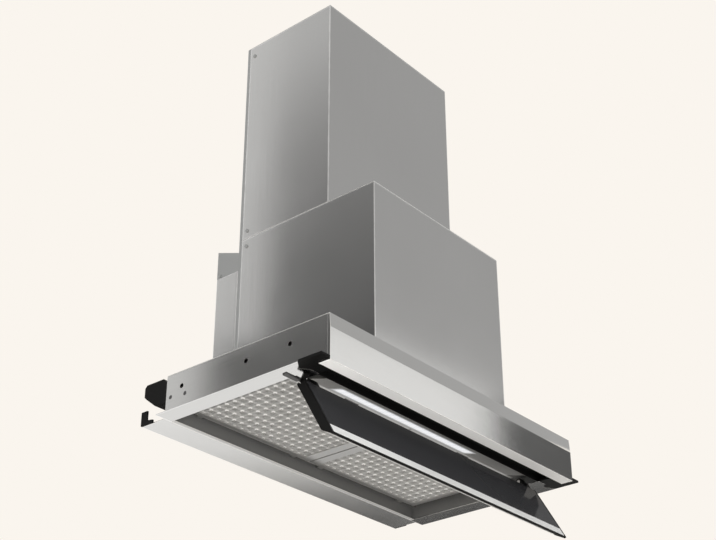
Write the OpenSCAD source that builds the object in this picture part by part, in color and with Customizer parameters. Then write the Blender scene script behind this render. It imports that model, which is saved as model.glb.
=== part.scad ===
// Built-in range hood that slides up into a wall cabinet.
// Origin: on the wall, on the centre line, level with the faces that seat under the cabinet.
// X runs along the fascia, Y towards the wall and Z up. All sizes are in millimetres.

/* [Body] */
// Width of the body between the cabinet's side panels
body_w = 564; // [540:1:620]
// Distance from the wall to the front of the fascia
hood_d = 351; // [351:1:380]
// Gap between the wall and the back of the body
wall_gap = 46; // [40:1:50]
// Height of the body above the seating faces
body_h = 64; // [60:1:80]
// Thickness of the folded body sheet
sheet_t = 1.2; // [1:0.1:1.5]
// Width of the flanges that cover the cabinet's side panels
flange_w = 17; // [14:1:20]
// Width of the rim between a side panel and the filter opening
rim_w = 13; // [12:1:15]
// Depth of the rim at the back of the filter opening
rear_rim_d = 6; // [5:0.5:7]
// Width of the air opening in the body's top
intake_w = 230; // [200:1:236]
// Depth of the air opening in the body's top
intake_d = 220; // [190:1:224]
// Distance from the body's back to the air opening
intake_back = 24; // [22:1:28]

/* [Fascia] */
// Thickness of the fascia sheet
fascia_t = 1.2; // [1:0.1:1.5]
// Depth of the lip folded back under the fascia
lip_d = 20; // [18:0.5:22]
// Drop of the lip below the underside of the flanges
lip_drop = 2.4; // [2:0.1:4]
// Height of the upper band of the fascia
band_h = 21; // [16:0.5:26]
// How far the upper band leans back at its top
band_lean = 1.5; // [0.5:0.1:2]
// Depth of the returns folded round the fascia's ends
end_return = 5; // [4:0.5:7]
// Length of the black caps at the front of the flanges
cap_len = 40; // [34:1:43]
// How much further the black caps reach back beside the body
cap_mitre = 13; // [10:1:14]
// How much further their inner part reaches back
cap_inner = 3; // [1:1:5]
// How far the black caps reach in under the body
cap_in = 27; // [20:0.5:27]
// Height of the black caps above the seating faces
cap_h = 2; // [1:0.5:2]

/* [Front channel and lights] */
// Wall of the black plastic channel behind the lip
channel_t = 2; // [1.5:0.1:2.5]
// Height of the channel's roof above the seating faces
channel_z = 12; // [11:0.5:16]
// Distance from the fascia's front to the light bar
bar_front = 51; // [50:0.5:52]
// Depth of the light bar
bar_d = 35; // [34:0.5:35.5]
// Height of the light bar's front edge above the seating faces
bar_z = 2.5; // [2.5:0.5:4]
// Rise of the light bar's sloping face from front to back
bar_rise = 10; // [9:0.5:11]
// Height of the light bar's back
bar_back_h = 10; // [9:0.5:12]
// Wall of the light bar
bar_t = 1.5; // [1.2:0.1:1.8]
// Length of the light bar
bar_w = 460; // [420:1:464]
// Length of the lit strip
led_w = 304; // [240:1:330]
// Distance from the hood's centre to the middle of the lit strip, on the left
led_shift = 37; // [0:1:50]
// Width of the lit strip
led_d = 26; // [16:0.5:27]
// Thickness of the diffuser
diffuser_t = 3; // [2:0.5:3]
// Thickness of the board that carries the light chips
led_board_t = 1.6; // [1:0.1:1.6]

/* [Flap] */
// Width of the glass flap over its end plates
flap_w = 532; // [524:1:534]
// Width over the ears that the hinge pins go through
hinge_w = 508; // [500:1:510]
// Length of the flap from its hinged edge to its free edge
flap_len = 99; // [90:1:101]
// Thickness of the flap
flap_t = 13; // [12:0.5:14]
// Distance from the hinge axis to the face of the glass
flap_front = 9.5; // [9:0.5:10]
// Distance from the hinge axis to the flap's hinged edge
flap_set = 21; // [20:0.5:24]
// Length of the slope at the back of the flap's free edge
edge_slope = 15.5; // [10:0.5:20]
// Angle from the closed flap to the open one
flap_open = 120; // [110:1:125]
// Distance from the fascia's front to the hinge axis
hinge_front = 77; // [76:0.5:78]
// Height of the hinge axis above the seating faces
hinge_z = 4.5; // [4:0.1:5]
// Radius of the hinge pins
pin_r = 3; // [2.5:0.1:3.5]
// Thickness of the flap's end plates
end_plate_t = 3.5; // [3:0.1:4]
// Radius of the ears round the hinge pins
ear_r = 6; // [5:0.5:6.5]
// Thickness of the flap's glass
glass_t = 4; // [3:0.5:4]
// Width of the bright trim on the free edge
trim_w = 14.5; // [12:0.5:18]
// Thickness of the trim
trim_t = 1.4; // [1:0.1:1.6]
// Width of the black edge below the trim
nose_w = 1.6; // [1:0.1:2.5]
// Wall of the flap's plastic tray
tray_t = 2; // [1.6:0.1:2.4]
// Thickness of the sheet that closes the flap's back
back_t = 1.2; // [1:0.1:1.5]
// Number of stiffening ribs inside the flap
flap_ribs = 6; // [4:1:8]
// Length of the touch key board behind the glass
key_board_w = 90; // [60:1:110]
// Thickness of the hinge brackets
bracket_t = 3; // [2.5:0.1:3.5]

/* [Filters] */
// Height of the filters' underside above the seating faces
filter_z = 16.4; // [16:0.1:18]
// Thickness of a filter
filter_t = 9; // [8:0.5:10]
// Distance from a side panel to the filter beside it
filter_side = 26; // [26:0.5:28]
// Distance from the fascia's front to the filters
filter_front = 91; // [91:0.5:92]
// Distance from the body's back to the filters
filter_back = 15; // [15:0.5:17]
// Gap between the two filters
filter_gap = 2; // [1:0.5:4]
// Width of a filter's frame
frame_w = 9; // [8:0.5:12]
// Width of a filter's frame beside the gap between the filters
frame_mid_w = 17; // [12:0.5:20]
// Width of a filter's frame at the front, where its latch slides
frame_front_w = 20; // [19:0.5:24]
// Spacing of the grid's openings along the filter
grid_x = 15.2; // [14:0.1:24]
// Spacing of the grid's openings across the filter
grid_y = 15.4; // [14:0.1:22]
// Width of the bars between the grid's openings
grid_bar = 3.5; // [3:0.5:6]
// Radius of the rod that the filters hook over
rod_r = 2; // [1.8:0.1:2.5]
// Height of the pan round the filters
pan_h = 34; // [32:1:36]
// Thickness of the pan's sheet
pan_t = 1; // [0.8:0.1:1.2]
// Width of a latch
latch_w = 30; // [24:1:40]
// Length of a latch along its slide
latch_l = 9; // [8:0.5:10]
// Travel of a latch
latch_travel = 5; // [4:0.5:5.5]
// Width of a latch's bolt
bolt_w = 12; // [8:1:16]

/* [Casings] */
// Width of both casings
casing_w = 308; // [308:1:316]
// Distance from the fascia's front to the lower casing
casing_front = 31.5; // [28:0.5:33]
// Height of the lower casing above the body's top
casing_h = 277; // [276:1:290]
// Thickness of the casing sheet
casing_t = 1; // [0.8:0.1:1.2]
// Depth of the folded edges of the casings' back plates
casing_fold = 6; // [4:0.5:10]
// Depth of the upper casing
upper_d = 184; // [178:1:200]
// Height of the upper casing
upper_h = 376.5; // [300:0.5:420]
// Height of the box between the casings and the wall, above the seating faces
rear_box_h = 289; // [280:1:300]
// Height of the box's lower edge above the seating faces
rear_box_z = 20; // [18:1:30]
// Height of the wall bracket at the wall
bracket_h = 49; // [40:1:60]
// Drop of the wall bracket's cheeks towards the casing
bracket_slope = 17; // [10:1:24]
// Spacing of the wall screws
wall_screw_w = 240; // [200:1:260]
// Radius of the wall screw holes
wall_hole_r = 3.5; // [3:0.25:4.5]
// Radius of the side fixing holes
side_hole_r = 3.5; // [3:0.25:4]
// Height of the side fixing holes above the seating faces
side_hole_z = 40.4; // [39:0.2:44]
// Distance from the fascia's front to the first side fixing hole
side_hole_front = 70.5; // [60:0.5:80]
// Spacing of the side fixing holes
side_hole_pitch = 80; // [60:1:100]

/* [Behind the body] */
// Height of the filler strip's leg against the wall
strip_leg = 13; // [8:1:14]
// Depth of the filler strip's end caps
strip_cap_d = 24; // [20:1:34]
// Height of the filler strip's end caps
strip_cap_h = 21; // [16:1:26]
// Thickness of the filler strip's end caps
strip_cap_t = 3; // [2:0.5:4]
// Height of the wall spacers' lower side above the seating faces
spacer_z = 25; // [24:0.5:28]
// Height of a wall spacer
spacer_h = 37; // [34:1:38]
// Rise of a wall spacer's lower side towards the wall
spacer_rise = 15; // [10:1:16]
// Width of a wall spacer
spacer_w = 27; // [20:1:34]
// Size of the chamfer along a wall spacer's top
spacer_chamfer = 8; // [4:0.5:8]
// Length of the tongue that holds a wall spacer
tongue_l = 46; // [44:1:56]
// Thickness of that tongue
tongue_t = 4; // [3:0.5:5]

/* [Blower] */
// Distance from the wall to the wheel's axis
wheel_wall = 195; // [194:1:197]
// Height of the wheel's axis above the body's top
wheel_z = 121; // [118:1:124]
// Radius of the blower wheel
wheel_r = 76; // [70:1:77]
// Depth of the wheel's blades
blade_d = 16; // [12:0.5:18]
// Width of the blower wheel
wheel_w = 100; // [90:1:104]
// Number of blades
blades = 28; // [20:1:36]
// Thickness of a blade
blade_t = 1.2; // [1:0.1:1.5]
// Width of the scroll between its side plates
scroll_w = 110; // [106:1:116]
// Scroll radius at its cut-off
scroll_r0 = 86; // [84:0.5:88]
// Scroll radius at its outlet
scroll_r1 = 114; // [112:0.5:115]
// Thickness of the scroll's sheet
scroll_t = 1.2; // [1:0.1:1.5]
// Radius of the inlet holes in the side plates
inlet_r = 62; // [58:0.5:66]
// Radius of the motor
motor_r = 38; // [34:0.5:42]
// Length of the motor
motor_l = 67; // [60:1:76]
// Radius of the motor's shaft
shaft_r = 4; // [3:0.5:5]

/* [Duct] */
// Radius of the outlet collar, which a duct slides over
collar_r = 74.5; // [70:0.5:75]
// Height of the outlet collar
collar_h = 28; // [24:1:60]
// Distance from the body's back to the duct's axis
duct_back = 82; // [82:1:90]
// Wall of the collar and of the inner duct
duct_t = 1.5; // [1.2:0.1:2]
// Thickness of the damper flaps
damper_t = 1.5; // [1:0.1:2]
// Radius of the damper's hinge pin
damper_pin_r = 1.5; // [1.2:0.1:2]
// Width of the ledge that the damper flaps rest on
damper_ledge = 3; // [2:0.5:4]

/* [Hidden] */

$fn = 64;
// Clearance round a moving piece
run_gap = 0.06;
// Clearance between pieces that are put together
fit_gap = 0.05;
// Clearance between neighbouring covers
cover_gap = 0.2;
// Overlap of a cutting shape past the face it cuts
cut = 1;

// Body: half its width, its front and back, the lip's underside and the edges of the rim
half_w = body_w / 2;
y_front = -hood_d;
y_back = -wall_gap;
lip_z = -sheet_t - lip_drop;
fascia_back = y_front + band_lean + fascia_t;
panel_front = y_front + end_return + cover_gap;
rim_x = half_w - rim_w;
rim_y = y_back - rear_rim_d;
cap_rear = y_front + cap_len + cap_mitre;
cap_inner_y = y_front + cap_len + cap_inner;
cap_x = half_w - cap_in;
side_hole_back = 30.5;

// Light bar: its ends in Y, the angle and length of its sloping face, its top
bar_y0 = y_front + bar_front;
bar_y1 = bar_y0 + bar_d;
bar_slope = atan(bar_rise / bar_d);
bar_face = sqrt(bar_rise * bar_rise + bar_d * bar_d);
bar_top = bar_z + bar_rise + bar_back_h;
led_edge = 1.5;
led_sink = 0.3;
led_y0 = bar_face - led_d - led_edge;
led_x0 = -led_shift - led_w / 2;
led_x1 = -led_shift + led_w / 2;

// Filters and the pan round them
pan_clear = 1.2;
pan_gap = 1.8;
pan_start = 6;
pan_x = rim_x + pan_t / 2;
pan_back = y_back - sheet_t - pan_gap;
filter_y0 = y_front + filter_front;
filter_y1 = y_back - filter_back;
filter_z1 = filter_z + filter_t;
pan_front = filter_y0 - pan_clear;
filter_x0 = filter_gap / 2;
filter_x1 = half_w - filter_side;
filter_w = filter_x1 - filter_x0;
grid_inset = 1.5;

// The rod that the filters hook over, and the filters' lugs
rod_set = 5.5;
rod_y = filter_y1 + rod_set;
rod_z = filter_z + filter_t / 2;
lug_r = rod_r + 2;
lug_w = 10;
lug_inset = 30;
lug_places = [filter_x0 + lug_inset, filter_x1 - lug_inset];

// Latches: the bolt, the pocket it slides in, its travel's clearance and its finger grooves
latch_x = filter_x0 + filter_w / 2;
latch_skin = 1;
latch_z0 = filter_z + 0.6;
bolt_z0 = filter_z + 3;
bolt_z1 = filter_z + 6;
bolt_out = 4;
bolt_clear = 0.5;
pocket_y0 = filter_y0 + 2.5;
pocket_y1 = pocket_y0 + latch_l + latch_travel + 0.6;
groove_count = 4;
groove_pitch = 1.8;
groove_w = 0.8;
groove_depth = 0.6;
groove_inset = 2;

// Flap hinge: the axis, the washers, the brackets and their feet, tie plates and straps
hinge_y = y_front + hinge_front;
washer_t = 2.6;
ear_x = hinge_w / 2 - end_plate_t;
bracket_in = hinge_w / 2 + washer_t + 2 * cover_gap;
bracket_out = bracket_in + bracket_t;
bracket_top = bar_top - cover_gap;
ear_gap = 1.5;
arm_half = 4.2;
foot_l = 28;
foot_drop = 2;
foot_lead = 2;
tie_l = 34;
tie_z = filter_z - 2;
tie_gap = 2;
strap_half = 3.5;
strap_t = 1.6;
strap_out = 2;
pin_in = 2;
pin_head_r = pin_r + 2;
pin_head_t = 2;

// Flap, measured from the hinge axis: its free edge, its glass face and its back
flap_end = flap_set + flap_len;
flap_face = -flap_front;
flap_rear = flap_t - flap_front;
end_in = flap_w / 2 - end_plate_t;
slope_y = flap_end - edge_slope;
nose_y = flap_end - nose_w;
nose_t = 3;
hinge_block_w = 18;
hinge_block_s = 12;
hinge_bar_d = 4;
key_board_y = 34;
key_board_d = 20;
key_board_t = 1.6;

// Casings and the box behind them
casing_x = casing_w / 2;
casing_y0 = y_front + casing_front;
casing_z1 = body_h + casing_h;
upper_y0 = y_back - upper_d;
upper_z1 = casing_z1 + upper_h;
fold_y = y_back - casing_fold;
box_side = 40;
box_edge = 12;
wall_screw_up = 6;
screw_head_r = 3.2;
screw_head_t = 1.4;
screw_edge = 14;
screw_low = 20;
screw_fold = 10;
box_screw_y = 6;
box_screw_up = 5;

// Duct: its axis, its outer radius, its foot and its clearance in the casing's top
duct_y = y_back - duct_back;
duct_r = collar_r - 0.5;
duct_gap = 1;
base_t = 2;
base_r = duct_r + 6;
collar_rim = 4;
collar_rim_t = 2;

// Blower: the wheel's axis, the scroll, the throat under the duct and the motor
wheel_y = -wheel_wall;
wheel_zc = body_h + wheel_z;
scroll_x = scroll_w / 2;
throat_y1 = wheel_y + scroll_r1;
throat_y0 = 2 * duct_y - throat_y1;
throat_z = casing_z1 - casing_t;
throat_rise = 12;
cut_off = 80;
inlet_lip = 3;
disc_t = 3;
disc_gap = 1;
hub_r = 12;
hub_l = 15;
wheel_ring_t = 2;
blade_angle = 30;
blade_inset = 2;
blade_short = 3.5;
blade_end = 0.5;
motor_gap = 5;
motor_x1 = -disc_t - motor_gap;
motor_x0 = motor_x1 - motor_l;
motor_cap_t = 6;
motor_cap_r = motor_r - 12;
bracket_ring_r = motor_r + 8;
ring_x0 = -scroll_x - scroll_t - 6;
ring_t = 3;
spoke_half = 6;
spoke_in = 4;
spoke_out = 14;
spoke_angles = [30, 150, 270];
shaft_in = 20;
shaft_bore = 22;

// Damper: the seat of its flaps, its pin and its knuckles
damper_z = upper_z1 + 8;
damper_pin_z = damper_z + damper_pin_r + 0.5;
knuckle_r = damper_pin_r + 1.2;
knuckle_l = 18;
knuckle_tab = 2;
damper_edge = 0.8;
damper_lift = 0.1;
damper_split = 0.6;
pin_short = 0.2;

// Wall spacers: their tongue and the screws through it
tongue_z0 = 21.5;
tongue_h = 11;
tongue_clear = 0.5;
tongue_back = 9;
tongue_front = 38;
tongue_step = 2;
tongue_screw_r = 3;
tongue_shank_r = 1.6;
screw_bite = 0.5;
tongue_z1 = min(tongue_z0 + tongue_h, pan_h - pan_t - tongue_clear);
tongue_mid = (tongue_z0 + tongue_z1) / 2;
tongue_holes = [[y_back - tongue_front, tongue_mid],
    [y_back - tongue_back, tongue_mid + tongue_step]];

// Electrics
box_low = 150;
box_high = 240;
box_in = 30;
box_back = 150;
box_d = 38;
capacitor_r = 16;
capacitor_h = 62;
capacitor_side = 1;
capacitor_back = 22;
gland_bore = 4;
gland_in = 24;
gland_x = casing_x - gland_in;
gland_y = casing_y0 + gland_in;
gland_nut_r = 9;
gland_nut_h = 4;
gland_r = 7;
gland_h = 16;

// A block between two corners
module block(a, b) {
    translate(a) cube(b - a);
}

// A cylinder along X
module rod_x(r, x0, x1, y, z) {
    translate([x0, y, z]) rotate([0, 90, 0]) cylinder(r = r, h = x1 - x0);
}

// A cylinder along Z
module rod_z(r, x, y, z0, z1) {
    translate([x, y, z0]) cylinder(r = r, h = z1 - z0);
}

// A profile in Y and Z, drawn out along X
module along_x(x0, x1, points) {
    translate([x0, 0, 0]) rotate([90, 0, 90]) linear_extrude(x1 - x0) polygon(points);
}

// The right-hand piece as drawn, or its mirror image on the left
module on_side(side) {
    mirror([side < 0 ? 1 : 0, 0, 0]) children();
}

// Places a piece drawn from the hinge axis, with the flap open
module on_flap() {
    translate([0, hinge_y, hinge_z]) rotate([-flap_open, 0, 0]) children();
}

// Places a piece on the light bar's sloping face
module on_bar() {
    translate([0, bar_y0, bar_z]) rotate([bar_slope, 0, 0]) children();
}

// Canopy body

module canopy_top() {
    intake_y = y_back - intake_back;
    color("silver") difference() {
        block([-half_w, fascia_back, body_h - sheet_t], [half_w, y_back, body_h]);
        block([-intake_w / 2, intake_y - intake_d, body_h - sheet_t - cut],
            [intake_w / 2, intake_y, body_h + cut]);
    }
}

module side_panel(side) {
    color("silver") on_side(side) difference() {
        union() {
            block([half_w - sheet_t, panel_front, -sheet_t], [half_w, y_back, body_h - sheet_t]);
            block([rim_x, y_front + cap_len, -sheet_t], [half_w + flange_w, y_back, 0]);
            block([cap_x, cap_inner_y, -sheet_t], [half_w, hinge_y - ear_r - ear_gap, 0]);
        }
        cap_shape(cover_gap);
        for (i = [0, 1])
            rod_x(side_hole_r, half_w - sheet_t - cut, half_w + cut,
                y_front + side_hole_front + i * side_hole_pitch, side_hole_z);
        rod_x(side_hole_r, half_w - sheet_t - cut, half_w + cut,
            y_back - side_hole_back, side_hole_z);
        for (p = tongue_holes)
            rod_x(tongue_screw_r + fit_gap, half_w - sheet_t - cut, half_w + cut, p[0], p[1]);
    }
}

module side_panel_left() { side_panel(-1); }
module side_panel_right() { side_panel(1); }

module tongue_shape(gap) {
    x1 = half_w - sheet_t;
    block([x1 - tongue_t - gap, y_back - tongue_l, tongue_z0 - gap],
        [x1 + gap, y_back + gap, tongue_z1 + gap]);
}

module rear_panel() {
    x1 = half_w - sheet_t - fit_gap;
    color("silver") difference() {
        union() {
            block([-x1, y_back - sheet_t, 0], [x1, y_back, body_h - sheet_t]);
            block([-rim_x + fit_gap, rim_y, -sheet_t], [rim_x - fit_gap, y_back, 0]);
        }
        for (side = [-1, 1])
            on_side(side) tongue_shape(cover_gap);
    }
}

module filter_pan() {
    wall_top = max(pan_h, bar_top + pan_t);
    color("gainsboro") difference() {
        union() {
            for (side = [-1, 1])
                on_side(side) {
                    block([pan_x, bar_y0 + pan_start, 0], [pan_x + pan_t, pan_back + pan_t, pan_h]);
                    block([pan_x, bar_y1, pan_h - pan_t],
                        [half_w - sheet_t - fit_gap, pan_back + pan_t, pan_h]);
                }
            block([-pan_x, pan_back, 0], [pan_x, pan_back + pan_t, pan_h]);
            block([-pan_x, pan_front - pan_t, filter_z + latch_skin], [pan_x, pan_front, wall_top]);
            block([-pan_x, bar_y0, bar_top], [pan_x, pan_front, bar_top + pan_t]);
        }
        for (side = [-1, 1]) {
            on_side(side) block([bracket_in - cover_gap, pan_front - pan_t - cut, 0],
                [pan_x, pan_front + cut, bracket_top + cover_gap]);
            on_side(side) rod_x(rod_r + fit_gap, pan_x - cut, pan_x + pan_t + cut, rod_y, rod_z);
            on_side(side)
                block([latch_x - bolt_w / 2 - bolt_clear, pan_front - pan_t - cut,
                        bolt_z0 - bolt_clear],
                    [latch_x + bolt_w / 2 + bolt_clear, pan_front + cut, bolt_z1 + bolt_clear]);
        }
    }
}

module filter_rod() {
    color("lightgray") rod_x(rod_r, -pan_x - pan_t, pan_x + pan_t, rod_y, rod_z);
}

// Fascia, channel and lights

module fascia() {
    band_z = body_h - band_h;
    color("whitesmoke") union() {
        along_x(-half_w, half_w, [[y_front + lip_d, lip_z], [y_front, lip_z], [y_front, band_z],
            [y_front + band_lean, body_h], [fascia_back, body_h],
            [y_front + fascia_t, band_z], [y_front + fascia_t, lip_z + fascia_t],
            [y_front + lip_d, lip_z + fascia_t]]);
        for (side = [-1, 1])
            on_side(side)
                along_x(half_w - fascia_t, half_w, [[y_front, lip_z], [y_front, band_z],
                    [y_front + band_lean, body_h - sheet_t],
                    [y_front + end_return, body_h - sheet_t], [y_front + end_return, lip_z]]);
    }
}

module front_channel() {
    x1 = half_w - max(sheet_t, fascia_t) - cover_gap;
    y0 = y_front + lip_d - channel_t;
    y1 = bar_y0 - cover_gap;
    z0 = lip_z + fascia_t;
    color("black") along_x(-x1, x1, [[y0, z0], [y0, channel_z + channel_t],
        [y1, channel_z + channel_t], [y1, bar_z], [y1 - channel_t, bar_z],
        [y1 - channel_t, channel_z], [y0 + channel_t, channel_z], [y0 + channel_t, z0]]);
}

// A cap's outline from below, grown by a gap
module cap_shape(gap) {
    x1 = half_w + flange_w + gap;
    lip_y = y_front + lip_d + cover_gap - gap;
    translate([0, 0, -sheet_t - gap]) linear_extrude(cap_h + sheet_t + 2 * gap)
        polygon([[x1, y_front - gap], [x1, y_front + cap_len + gap],
            [half_w, cap_rear + gap], [half_w - cap_mitre + cap_inner, cap_inner_y + gap],
            [cap_x - gap, cap_inner_y + gap],
            [cap_x - gap, lip_y], [half_w + cover_gap - gap, lip_y],
            [half_w + cover_gap - gap, y_front - gap]]);
}

module front_cap(side) {
    color("black") on_side(side) cap_shape(0);
}

module front_cap_left() { front_cap(-1); }
module front_cap_right() { front_cap(1); }

module light_bar() {
    floor_z = bar_z + (diffuser_t + led_board_t + bar_t) / cos(bar_slope);
    step_z = bar_t * bar_rise / bar_d;
    color("gainsboro") difference() {
        along_x(-bar_w / 2, bar_w / 2, [[bar_y0, bar_z], [bar_y1, bar_z + bar_rise],
            [bar_y1, bar_top], [bar_y0, bar_top]]);
        along_x(-bar_w / 2 - cut, bar_w / 2 + cut, [[bar_y0 + bar_t, floor_z + step_z],
            [bar_y1 - bar_t, floor_z + bar_rise - step_z], [bar_y1 - bar_t, bar_top - bar_t],
            [bar_y0 + bar_t, bar_top - bar_t]]);
        on_bar() block([led_x0, led_y0, -cut],
            [led_x1, led_y0 + led_d, diffuser_t + led_board_t + fit_gap]);
    }
}

module led_diffuser() {
    color("white") on_bar() block([led_x0 + fit_gap, led_y0 + fit_gap, led_sink],
        [led_x1 - fit_gap, led_y0 + led_d - fit_gap, diffuser_t]);
}

module led_board() {
    color("khaki") on_bar() block([led_x0 + cover_gap, led_y0 + cover_gap, diffuser_t],
        [led_x1 - cover_gap, led_y0 + led_d - cover_gap, diffuser_t + led_board_t]);
}

// Flap hinge

// An arm with a foot on the pan's side, a plate that ties it in beside the light bar and a
// strap that runs out under the side panel's rim
module hinge_bracket(side) {
    foot_y0 = pan_front;
    foot_y1 = pan_front + foot_l;
    foot_z0 = filter_z - foot_drop;
    tie_y1 = pan_front - pan_t - cover_gap;
    strap_z = -sheet_t - strap_t;
    color("dimgray") on_side(side) difference() {
        union() {
            rod_x(ear_r, bracket_in, bracket_out, hinge_y, hinge_z);
            along_x(bracket_in, bracket_out, [[hinge_y - arm_half, hinge_z + arm_half],
                [hinge_y + arm_half, hinge_z - arm_half], [foot_y0 + foot_lead, foot_z0],
                [foot_y1, foot_z0], [foot_y1, bracket_top], [foot_y0, bracket_top]]);
            block([bracket_out, foot_y0, foot_z0], [pan_x, foot_y1, bracket_top]);
            block([bar_w / 2 + tie_gap, tie_y1 - tie_l, tie_z],
                [bracket_out, tie_y1, tie_z + bracket_t]);
            block([bracket_in, hinge_y - strap_half, strap_z],
                [half_w + strap_out, hinge_y + strap_half, -sheet_t]);
            block([bracket_in, hinge_y - strap_half, strap_z],
                [bracket_out, hinge_y + strap_half, hinge_z]);
        }
        rod_x(pin_r + fit_gap, bracket_in - cut, bracket_out + cut, hinge_y, hinge_z);
    }
}

module hinge_bracket_left() { hinge_bracket(-1); }
module hinge_bracket_right() { hinge_bracket(1); }

module hinge_pins() {
    color("silver") for (side = [-1, 1]) on_side(side) {
        rod_x(pin_r, ear_x - pin_in, bracket_out, hinge_y, hinge_z);
        rod_x(pin_head_r, bracket_out, bracket_out + pin_head_t, hinge_y, hinge_z);
    }
}

module friction_washers() {
    color("black") for (side = [-1, 1]) on_side(side) difference() {
        rod_x(ear_r - 1, hinge_w / 2 + cover_gap, bracket_in - cover_gap, hinge_y, hinge_z);
        rod_x(pin_r + fit_gap, hinge_w / 2, bracket_in, hinge_y, hinge_z);
    }
}

// Flap, drawn from its hinge axis: Y runs to its free edge and Z from its glass to its back

module flap_glass() {
    color([0.13, 0.13, 0.14]) on_flap()
        block([-end_in + cover_gap, flap_set, flap_face],
            [end_in - cover_gap, nose_y - trim_w - cover_gap, flap_face + glass_t]);
}

module flap_tray() {
    x1 = end_in - cover_gap;
    floor_z = flap_face + glass_t + fit_gap;
    trim_z = flap_face + trim_t + fit_gap;
    top_z = flap_rear - back_t - fit_gap;
    trim_y = nose_y - trim_w;
    color([0.08, 0.08, 0.08]) on_flap() difference() {
        along_x(-x1, x1, [[flap_set, floor_z], [trim_y, floor_z], [trim_y, trim_z],
            [nose_y + fit_gap, trim_z], [nose_y + fit_gap, flap_face], [flap_end, flap_face],
            [flap_end, flap_face + nose_t], [slope_y, top_z], [flap_set, top_z]]);
        difference() {
            block([-x1 + tray_t, flap_set + tray_t, floor_z + tray_t],
                [x1 - tray_t, slope_y - tray_t, top_z + cut]);
            for (i = [1 : flap_ribs]) {
                x = -x1 + i * 2 * x1 / (flap_ribs + 1);
                block([x - tray_t / 2, flap_set, floor_z], [x + tray_t / 2, flap_end, top_z]);
            }
        }
    }
}

module flap_back() {
    color("darkgray") on_flap()
        block([-end_in + cover_gap, flap_set, flap_rear - back_t],
            [end_in - cover_gap, slope_y, flap_rear]);
}

module flap_trim() {
    color("silver") on_flap()
        block([-end_in + cover_gap, nose_y - trim_w, flap_face],
            [end_in - cover_gap, nose_y, flap_face + trim_t]);
}

// The plate at the flap's end, and the block and ear that carry it on the hinge pin
module flap_end_plate(side) {
    ear_half = ear_r - 1;
    color("black") on_side(side) on_flap() difference() {
        union() {
            along_x(end_in, flap_w / 2, [[flap_set, flap_face], [flap_end, flap_face],
                [flap_end, flap_face + nose_t], [slope_y, flap_rear], [flap_set, flap_rear]]);
            block([end_in, flap_set - hinge_bar_d, 0], [flap_w / 2, flap_set + cut, flap_rear]);
            block([hinge_w / 2 - hinge_block_w, flap_set - hinge_bar_d, 0],
                [flap_w / 2, flap_set - fit_gap, flap_rear]);
            block([hinge_w / 2 - hinge_block_w, hinge_block_s, flap_face],
                [hinge_w / 2, flap_set - fit_gap, flap_rear]);
            block([ear_x, 0, -ear_half], [hinge_w / 2, hinge_block_s + cut, flap_rear]);
            rod_x(ear_r, ear_x, hinge_w / 2, 0, 0);
        }
        rod_x(pin_r + run_gap, ear_x - cut, hinge_w / 2 + cut, 0, 0);
    }
}

module flap_end_left() { flap_end_plate(-1); }
module flap_end_right() { flap_end_plate(1); }

module key_board() {
    x1 = end_in - cover_gap;
    bay = 2 * x1 / (flap_ribs + 1);
    z0 = flap_face + glass_t + fit_gap + tray_t;
    board_w = min(key_board_w, bay - 2 * tray_t);
    x0 = -x1 + bay + (bay - board_w) / 2;
    y0 = flap_set + key_board_y;
    color("green") on_flap()
        block([x0, y0, z0], [x0 + board_w, y0 + key_board_d, z0 + key_board_t]);
}

// Filters

module filter_frame(side) {
    z0 = filter_z;
    z1 = filter_z1;
    color("lightgray") on_side(side) difference() {
        union() {
            block([filter_x0, filter_y0, z0], [filter_x1, filter_y1, z1]);
            for (x = lug_places) {
                rod_x(lug_r, x - lug_w / 2, x + lug_w / 2, rod_y, rod_z);
                block([x - lug_w / 2, filter_y1 - cut, rod_z - lug_r],
                    [x + lug_w / 2, rod_y, rod_z + lug_r]);
            }
        }
        block([filter_x0 + frame_mid_w, filter_y0 + frame_front_w, z0 - cut],
            [filter_x1 - frame_w, filter_y1 - frame_w, z1 + cut]);
        block([latch_x - latch_w / 2 - cover_gap, pocket_y0, z0 - cut],
            [latch_x + latch_w / 2 + cover_gap, pocket_y1, z1 - latch_skin]);
        block([latch_x - bolt_w / 2 - cover_gap, filter_y0 - cut, bolt_z0 - cover_gap],
            [latch_x + bolt_w / 2 + cover_gap, pocket_y0 + cut, bolt_z1 + cover_gap]);
        for (x = lug_places)
            rod_x(rod_r + run_gap, x - lug_w, x + lug_w, rod_y, rod_z);
    }
}

module filter_frame_left() { filter_frame(-1); }
module filter_frame_right() { filter_frame(1); }

module filter_grid(side) {
    x0 = filter_x0 + frame_mid_w + fit_gap;
    x1 = filter_x1 - frame_w - fit_gap;
    y0 = filter_y0 + frame_front_w + fit_gap;
    y1 = filter_y1 - frame_w - fit_gap;
    columns = floor((x1 - x0 - grid_bar) / grid_x);
    rows = floor((y1 - y0 - grid_bar) / grid_y);
    first_x = (x0 + x1 - columns * grid_x + grid_bar) / 2;
    first_y = (y0 + y1 - rows * grid_y + grid_bar) / 2;
    color("silver") on_side(side) translate([0, 0, filter_z + grid_inset])
        linear_extrude(filter_t - 2 * grid_inset) difference() {
            translate([x0, y0]) square([x1 - x0, y1 - y0]);
            for (i = [0 : columns - 1], j = [0 : rows - 1])
                translate([first_x + i * grid_x, first_y + j * grid_y])
                    square([grid_x - grid_bar, grid_y - grid_bar]);
        }
}

module filter_grid_left() { filter_grid(-1); }
module filter_grid_right() { filter_grid(1); }

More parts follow.
